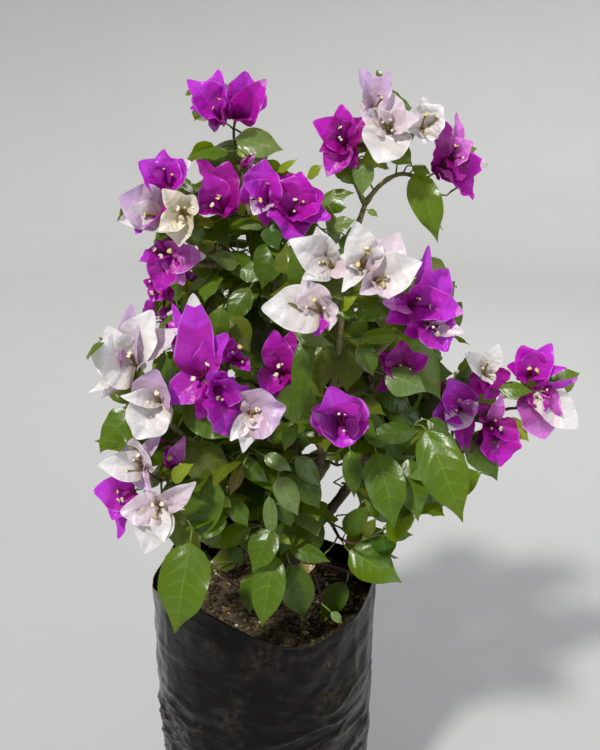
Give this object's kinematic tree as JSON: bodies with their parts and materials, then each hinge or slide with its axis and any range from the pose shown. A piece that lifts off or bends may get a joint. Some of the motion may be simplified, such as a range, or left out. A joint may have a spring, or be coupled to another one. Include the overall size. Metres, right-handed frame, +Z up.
{
  "type": "bougainvillea bush",
  "caption": "Young bougainvillea bush with magenta and white bracts, branching from one short stem in a black film nursery bag of potting soil.",
  "frame": {"origin": "middle of the bag's flat underside", "axes": "+Z up from the underside, +X to the plant's right and +Y to its back, seen from the front"},
  "size_m": [0.311, 0.216, 0.557],
  "materials": {
    "film": "black polythene film, wrinkled, half glossy, dusted with soil",
    "soil": "dark crumbly potting soil",
    "bark": "grey-brown bark, finely ridged",
    "leaf": "living leaf, satin",
    "bloom": "papery bracts, matt, magenta and white"
  },
  "bodies": {
    "root": {"nursery_bag": "film", "soil": "soil", "stem": "bark", "leader_left": "bark", "leader_centre": "bark", "leader_right": "bark", "leader_rear": "bark", "leader_front": "bark", "leader_crown": "bark", "leader_top_right": "bark", "limb_left": "bark", "limb_left_middle": "bark", "limb_low_left": "bark", "limb_left_side": "bark", "limb_top_left": "bark", "limb_upper_left": "bark", "limb_top_middle": "bark", "limb_top_right": "bark", "limb_top_right_outer": "bark", "limb_centre_front": "bark", "limb_centre_right": "bark", "limb_low_centre": "bark", "limb_right_inner": "bark", "limb_lower_right": "bark", "limb_back_high": "bark", "limb_back_left": "bark", "limb_back_middle": "bark", "limb_back_right": "bark", "limb_back_low_left": "bark", "limb_back_low_right": "bark", "top_left_spray": "bloom", "upper_left_spray": "bloom", "top_middle_spray": "bloom", "top_right_spray": "bloom", "top_right_outer_spray": "bloom", "centre_front_spray": "bloom", "centre_right_spray": "bloom", "right_inner_spray": "bloom", "right_outer_spray": "bloom", "left_spray": "bloom", "left_middle_spray": "bloom", "low_left_spray": "bloom", "low_centre_spray": "bloom", "upper_leaves": "leaf", "centre_leaves": "leaf", "right_leaves": "leaf", "lower_right_leaves": "leaf", "lower_left_leaves": "leaf", "lower_centre_leaves": "leaf", "skirt_left_leaves": "leaf", "skirt_front_leaves": "leaf", "skirt_right_leaves": "leaf", "left_side_leaves": "leaf", "back_high_spray": "bloom", "back_left_spray": "bloom", "back_middle_spray": "bloom", "back_right_spray": "bloom", "back_low_left_leaves": "leaf", "back_low_right_leaves": "leaf"}
  },
  "joints": []
}
